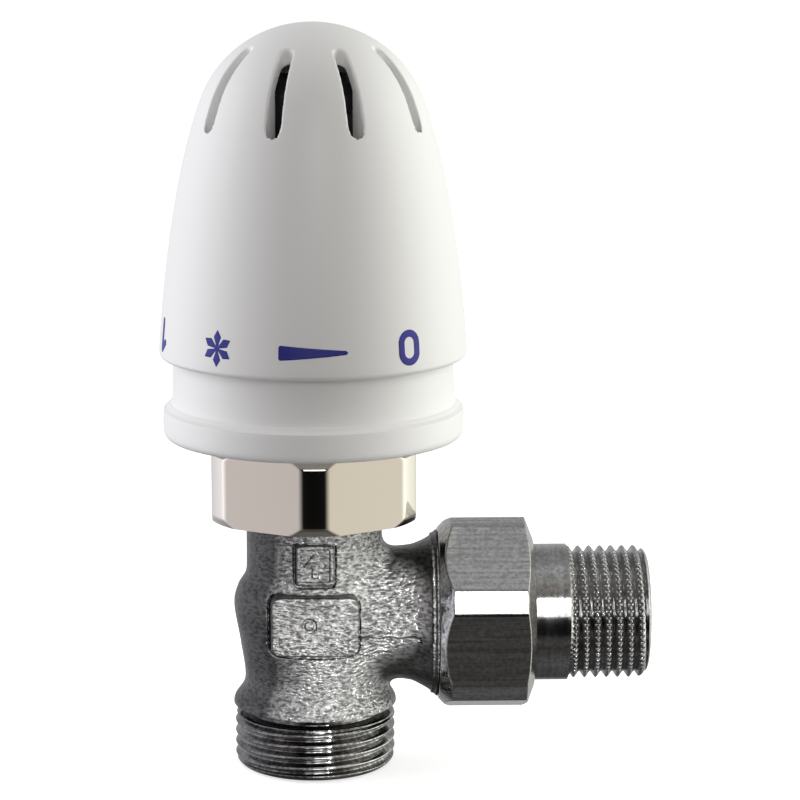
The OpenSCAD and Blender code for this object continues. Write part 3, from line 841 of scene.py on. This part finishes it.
def build_union_nut():
    x0, x1 = UNION_LOW[0], UNION_HIGH[0]
    across, corner_r = 30, 16.3
    back_r, back_h = 14.0, 2.1
    front_r, front_h = 12.4, 1.5
    thread_r, hole_r, lip_x = 13.25, 11.25, 33.05
    # A corner that lies 20 degrees above the horizontal at the front
    corner = math.radians(-90 - 20)
    # The corners are cut by narrow facets, which take 7 degrees to each side
    facet_across = 2 * corner_r * math.cos(math.radians(7))

    def outer(angle, x):
        back = back_r + (x - x0) * (corner_r - back_r) / back_h
        front = front_r + (x1 - x) * (corner_r - front_r) / front_h
        facet = hexagon(angle, facet_across, corner + math.pi / 6)
        return worn([hexagon(angle, across, corner), facet, back, front], 0.2)

    def inner(angle, x):
        return np.where(x > lip_x, hole_r, thread_r)

    nut = polar_tube("union_nut_shell", outer, inner, nut_levels(x0, 2.4, 2.2, x1, lip_x), 900,
                     along_x=True)
    sharpen(nut, 60)
    finish_piece(nut, "union_nut", "machined_nickel", MILLED, "union_nut")


# ---- Threads ----

def thread_depth(angle, height, pitch, sharp=0.55):
    """0 on the crest and 1 in the root of a right-hand thread."""
    phase = (height / pitch - angle / (2 * math.pi)) % 1
    ridge = np.abs(phase - 0.5) * 2
    rounded_ridge = 0.5 - 0.5 * np.cos(math.pi * ridge)
    return sharp * ridge + (1 - sharp) * rounded_ridge


def build_inlet_thread():
    crest, bore = 13.22, 8.0
    depth, undercut_depth = 1.0, 2.2
    undercut_z, top = 8.5, 10.4
    nose_r, nose_h = 11.5, 2.4

    def outer(angle, z):
        fade = blend_step(z, 0.6, 1.4) * (1 - blend_step(z, undercut_z - 0.2, undercut_z + 0.4))
        ridges = crest - depth * thread_depth(angle, z, PIPE_PITCH) * fade
        undercut = blend_step(z, undercut_z, undercut_z + 0.5) * (1 - blend_step(z, top - 0.4, top - 0.1))
        rise = np.clip(z, 0, nose_h)
        nose = nose_r + np.sqrt(rise * (2 * nose_h - rise)) * 0.75
        return worn([ridges, crest - undercut_depth * undercut, nose], 0.2)

    def inner(angle, z):
        return bore + 0.5 * np.clip(0.5 - z, 0, 0.5)

    thread = polar_tube("inlet_thread", outer, inner, np.linspace(0, top, 140), 384)
    finish_piece(thread, "valve", "cast_nickel", TURNED_Z, "valve_body")


def build_tailpiece():
    x0, x1 = TAIL_LOW[0], TAIL_HIGH[0]
    collar_x, lip_x, thread_x = 30, 33, 41.4
    nose_r, collar_r, shank_r, crest, bore = 8.0, 12.0, 11.2, 10.95, 7.2
    depth, notch_depth, notches = 1.15, 0.5, 62
    end_r, end_h = 8.8, 2.2

    def outer(angle, x):
        groove = thread_depth(angle, x, PIPE_PITCH, 0.8)
        teeth = np.clip(0.1 + 0.9 * np.cos(angle * notches), 0, 1)
        # The notches cut the crests only
        serrated = notch_depth * teeth * np.clip(1.15 - groove * 2.6, 0, 1)
        start = blend_step(x, thread_x, thread_x + 0.7)
        threaded = crest - (depth * groove + serrated) * start
        plain = np.where(x < thread_x + 0.2, shank_r, crest)
        plain = np.where(x < lip_x, collar_r, plain)
        plain = np.where(x < collar_x, nose_r + (x - x0), plain)
        back = np.clip(x1 - x, 0, end_h)
        end = end_r + np.sqrt(back * (2 * end_h - back)) * 0.95
        return np.where(x < thread_x, plain, worn([np.minimum(threaded, plain), end], 0.15))

    def inner(angle, x):
        return bore + 0.6 * np.clip(x - x1 + 0.6, 0, 0.6)

    # Rings lie close together from just before the thread to the end
    fine_x = 39.5
    levels = np.unique(np.concatenate([
        np.linspace(x0, collar_x, 8), [collar_x + 0.001, 31.5, lip_x, lip_x + 0.001, 36, 39],
        np.linspace(fine_x, x1, 170)]))
    tail = polar_tube("tail_tube", outer, inner, levels, 744, along_x=True)
    sharpen(tail, 50)
    finish_piece(tail, "valve", "machined_nickel", TURNED_X, "tailpiece")


# ---- Cast valve body ----

# Outlines of the cast body as (r, z) and of the port as (r, x)
BODY_CURVE = curve([(13.35, 10.0), (13.2, 11.2), (11.5, 14.4), (12.2, 20.6), (13.2, 26.8), (12.6, 29.9),
                    (11.3, 32.2), (11.1, 35), (11.1, 41.3)])
PORT_CURVE = curve([(11, 0), (11, 10), (11.2, 15), (11.8, 17.2), (12.8, 19), (13.9, 20.1), (14, 20.6)])
# What turns the outlines' radial distances into nearly true ones
BODY_LEAN, PORT_LEAN = 0.95, 0.93
CAST_LOW, CAST_TOP = 10.2, 42.4
CAST_END_X = 20.1
BLEND = 2.6
# The parting line runs along the front of the port
SEAM_Z, SEAM_R = 24.1, 11.1
SEAM_START_X, SEAM_END_X = 7.5, 18.2
PAD_HALF_W, PAD_HALF_H, PAD_Z, PAD_Y = 7.0, 4.85, 26.15, 14.0
BADGE_HALF_W, BADGE_HALF_H, BADGE_X, BADGE_Z, BADGE_Y = 3.0, 3.25, 0.1, 35.95, 12.4
BADGE_BORDER = 0.6
# How far in front of the axis the pad and the badge start
PAD_BACK_Y = 6
# Stubs that the two nuts turn on
HEAD_THREAD_R, HEAD_THREAD_Z, BODY_TOP = 13.95, 42.9, 50.5
UNION_THREAD_R, UNION_THREAD_X, PORT_END_X = 13.2, 19, 28.5
# Passages: the trench is the groove around the seat ring
INLET_R, INLET_TOP = 8, 15.5
SEAT_R, SEAT_Z = 5.5, 19.5
CHAMBER_R, CHAMBER_Z = 8.75, 19
TRENCH_R, TRENCH_Z = 7.9, 17.8
COUNTERBORE_R, COUNTERBORE_Z = 10, 47
PORT_BORE, CONE_X = 7.0, 26.5


def arrow_distance(u, v):
    """A plain flow arrow that points up."""
    shaft = np.maximum(np.abs(u) - 0.5, np.abs(v + 0.9) - 1.1)
    head = np.maximum((np.abs(u) + (v - 2.1) * 0.8) * 0.78, -0.1 - v)
    return np.minimum(shaft, head)


def carve_line(cast, edge):
    """A crease along an edge line, a little way into the casting's skin."""
    return smooth_max(cast, -np.maximum(np.abs(edge) - 0.24, -0.5 - cast), 0.2)


def body_and_port(x, y, z, rho, across, wave):
    """The turned shapes of the body and the port, with a step on the port's front below the parting line."""
    body = (rho - np.interp(z, BODY_CURVE[:, 1], BODY_CURVE[:, 0])) * BODY_LEAN
    port = (across - np.interp(x, PORT_CURVE[:, 1], PORT_CURVE[:, 0])) * PORT_LEAN
    below = blend_step(SEAM_Z + wave - z, 0, 0.4)
    ledge = 0.6 * below * blend_step(-y, 0, 3) * blend_step(-x, -18.5, -13)
    return smooth_min(body, np.maximum(port + ledge, -x), BLEND)


def creases(cast, x, y, z):
    """Thin creases around the pad and the badge, on the front only."""
    front = np.where(y < 0, 0, 9.0)
    around_pad = box_distance(x + 0.15, z - PAD_Z + 0.4, PAD_HALF_W + 0.2, PAD_HALF_H + 0.2, 1.6)
    around_badge = box_distance(x - BADGE_X + 0.1, z - BADGE_Z + 0.3,
                                BADGE_HALF_W + 0.2, BADGE_HALF_H + 0.2, 0.7)
    return carve_line(carve_line(cast, around_pad + front), around_badge + front)


def pad_field(x, y, z):
    """The long raised pad, with a small ring sunk into its face."""
    pad = smooth_max(box_distance(x, z - PAD_Z, PAD_HALF_W, PAD_HALF_H, 1.4), -y - PAD_Y, 0.6)
    ring_r, ring_w, ring_depth = 0.95, 0.22, 0.3
    ring = np.abs(np.hypot(x + 0.9, z - PAD_Z - 0.3) - ring_r) - ring_w
    pad = smooth_max(pad, -np.maximum(ring, PAD_Y - ring_depth + y), 0.15)
    return np.maximum(pad, y + PAD_BACK_Y)


def badge_field(x, y, z):
    """The square badge: a raised border around a sunk field with an arrow on it."""
    u, v = x - BADGE_X, z - BADGE_Z
    badge = smooth_max(box_distance(u, v, BADGE_HALF_W, BADGE_HALF_H, 0.5), -y - BADGE_Y, 0.4)
    sunk = np.maximum(box_distance(u, v, BADGE_HALF_W - BADGE_BORDER, BADGE_HALF_H - BADGE_BORDER, 0.3),
                      BADGE_Y - 0.5 + y)
    badge = smooth_max(badge, -np.maximum(sunk, -arrow_distance(u, v)), 0.15)
    return np.maximum(badge, y + PAD_BACK_Y)


def add_seam(cast, x, y, z, across, wave):
    """The parting line: a bead along the port's front, over a groove."""
    outside = np.maximum(np.maximum(y, SEAM_START_X - x), x - SEAM_END_X)
    groove = np.hypot(z - SEAM_Z + 0.8 - wave, across - SEAM_R - 0.1) - 0.36
    bead = np.hypot(z - SEAM_Z - wave, across - SEAM_R) - 0.4
    cast = smooth_max(cast, -np.maximum(groove, outside), 0.2)
    return smooth_min(cast, np.maximum(bead, outside), 0.3)


def passages(x, z, rho, across):
    """Everything bored out: inlet, seat, chamber with its trench, counterbore, and the port with its cone."""
    inlet = barrel(rho, z, INLET_R, high=INLET_TOP)
    seat = barrel(rho, z, SEAT_R, INLET_TOP - 0.5, SEAT_Z)
    chamber = barrel(rho, z, CHAMBER_R, CHAMBER_Z)
    trench = np.maximum(barrel(rho, z, CHAMBER_R, TRENCH_Z, CHAMBER_Z + 1), TRENCH_R - rho)
    counterbore = barrel(rho, z, COUNTERBORE_R, COUNTERBORE_Z)
    port = barrel(across, x, PORT_BORE + np.maximum(x - CONE_X, 0), 0)
    return union_of(inlet, seat, chamber, trench, counterbore, port)


def cast_field(x, y, z):
    """The valve's casting, with the stubs under its two nuts."""
    rho = np.hypot(x, y)
    across = np.hypot(y, z - PORT_Z)
    wave = 0.15 * np.sin(x * 1.7)
    cast = body_and_port(x, y, z, rho, across, wave)
    cast = creases(cast, x, y, z)
    cast = smooth_min(cast, pad_field(x, y, z), 0.3)
    cast = smooth_min(cast, badge_field(x, y, z), 0.3)
    cast = add_seam(cast, x, y, z, across, wave)
    cast = np.maximum(cast, np.maximum(CAST_LOW - z, z - CAST_TOP))
    cast = smooth_max(cast, x - CAST_END_X, 0.4)
    head_stub = barrel(rho, z, HEAD_THREAD_R, HEAD_THREAD_Z, BODY_TOP)
    union_stub = barrel(across, x, UNION_THREAD_R, UNION_THREAD_X, PORT_END_X)
    return np.maximum(union_of(cast, head_stub, union_stub), -passages(x, z, rho, across))


def build_casting():
    low, high = (-15, -15, 9.6), (29.2, 15, 51.2)
    casting = implicit("valve_casting", cast_field, low, high, 0.3)
    finish_piece(casting, "valve", "cast_nickel", CAST, "valve_body")


# ---- Index mark ----

def index_arrow(u, v):
    """A small triangle that points up to the scale."""
    return np.maximum((np.abs(u) * 2 + v - 1.6) * 0.45, -1.4 - v)


def on_flange(flat, angle, lift):
    """Upright on the flange's edge."""
    a = math.radians(angle - 90) + flat[:, 0] / FLANGE_R
    r = FLANGE_R + lift
    return np.stack([r * np.cos(a), r * np.sin(a), INDEX_Z + flat[:, 1]], axis=1)


def build_index():
    ink = print_on("index_print", [(index_arrow, 1.8, 1.8, -4 * MARK_STEP)], on_flange)
    finish_piece(ink, "valve", "blue_print", INK, "index_mark")


# ---- Studio ----

def build_camera():
    """The photo's view: half a metre in front and a little above, turned slightly to the right."""
    distance, pitch, yaw = 0.5, math.radians(10.9), math.radians(1.64)
    aim_z = 0.0607
    data = bpy.data.cameras.new("camera")
    data.sensor_width = 36
    data.lens = 138.4
    data.clip_start = 0.01
    camera = link_object("camera", data)
    camera.location = (0, -distance * math.cos(pitch), aim_z + distance * math.sin(pitch))
    camera.rotation_euler = (math.pi / 2 - pitch, 0, -yaw)
    bpy.context.scene.camera = camera


def place_light(data, place, aim):
    light = link_object(data.name, data)
    light.location = place
    light.rotation_euler = (Vector(aim) - Vector(place)).to_track_quat("-Z", "Y").to_euler()
    return light


def area_light(name, place, aim, width, height, power, mirrored=True):
    """A softbox; mirrored says whether glossy surfaces show it."""
    data = bpy.data.lights.new(name, "AREA")
    data.shape = "RECTANGLE"
    data.size, data.size_y = width, height
    data.energy = power
    place_light(data, place, aim).visible_glossy = mirrored


def spot_light(name, place, aim, cone, radius, power):
    """A narrow beam with a soft edge."""
    data = bpy.data.lights.new(name, "SPOT")
    data.spot_size = math.radians(cone)
    data.spot_blend = 1.0
    data.shadow_soft_size = radius
    data.energy = power
    place_light(data, place, aim)


def build_world():
    """A plain studio: bright walls at the sides and back, and a dim front."""
    world = bpy.data.worlds.new("studio")
    bpy.context.scene.world = world
    world.use_nodes = True
    nodes, links = world.node_tree.nodes, world.node_tree.links
    background = nodes["Background"]
    coords = add(nodes, "ShaderNodeTexCoord")
    split = add(nodes, "ShaderNodeSeparateXYZ")
    links.new(coords.outputs["Generated"], split.inputs["Vector"])
    front_to_back = remap(nodes, links, split.outputs["Y"], -1, 1, 0, 1)
    tone = ramp(nodes, links, front_to_back,
                [(0.0, 0.001), (0.05, 0.012), (0.25, (0.6, 0.56, 0.525)), (0.4, 1.0), (0.52, 1.25),
                 (0.72, 0.95), (1.0, 0.55)])
    left_to_right = remap(nodes, links, split.outputs["X"], -1, 1, 0, 1)
    tint = ramp(nodes, links, left_to_right,
                [(0.1, (0.94, 0.93, 1.0)), (0.5, 1.0), (0.9, (1.14, 1.15, 1.06))])
    above = remap(nodes, links, split.outputs["Z"], 0.3, 0.95, 1, 0.35)
    below = remap(nodes, links, split.outputs["Z"], -0.75, -0.25, 0.12, 1)
    both = calculate(nodes, links, "ShaderNodeMath", "MULTIPLY", above, below)
    dimmed = calculate(nodes, links, "ShaderNodeVectorMath", "MULTIPLY", tone, both.outputs["Value"])
    tinted = calculate(nodes, links, "ShaderNodeVectorMath", "MULTIPLY", dimmed.outputs["Vector"], tint)
    links.new(tinted.outputs["Vector"], background.inputs["Color"])


def build_floor():
    """A white floor, which takes a shadow but casts no light or mirror image on the valve."""
    size, gap = 6.0, 0.0002
    z = cad_box[0][2] - gap
    mesh = bpy.data.meshes.new("floor")
    corners = [(-size, -size, z), (size, -size, z), (size, size, z), (-size, size, z)]
    mesh.from_pydata(corners, [], [(0, 1, 2, 3)])
    floor = link_object("floor", mesh)
    paint = material("floor_paint", (0.9, 0.9, 0.9), 0, 0.9,
                     Emission_Color=(1, 1, 1, 1), Emission_Strength=0.6)
    mesh.materials.append(paint)
    floor.visible_glossy = False
    floor.visible_diffuse = False
    floor.visible_shadow = False


def build_lights():
    """A box on each side, two softboxes in front that the nuts mirror, and a narrow spot on the casting."""
    for name, side in (("left_box", -1), ("right_box", 1)):
        area_light(name, (0.75 * side, 0.13, 0.2), (0, 0, 0.08), 0.5, 0.8, power=4.2, mirrored=False)
    area_light("front_box", (0.075, -0.95, 0.557), (0.03, 0, 0.03), 0.25, 0.27, power=1.1)
    area_light("front_panel", (0.03, -0.97, 0.26), (0, 0, 0.05), 0.6, 0.28, power=0.9)
    spot_light("snoot", (0.22, -0.6, 0.12), (0.01, -0.01, 0.02), cone=6.0, radius=0.02, power=12.0)


build_camera()
paint_cad_nodes()
build_knob()
build_marks()
build_base()
build_head_nut()
build_union_nut()
build_inlet_thread()
build_tailpiece()
build_casting()
build_index()
build_world()
build_floor()
build_lights()
bpy.context.scene.view_settings.view_transform = "Standard"
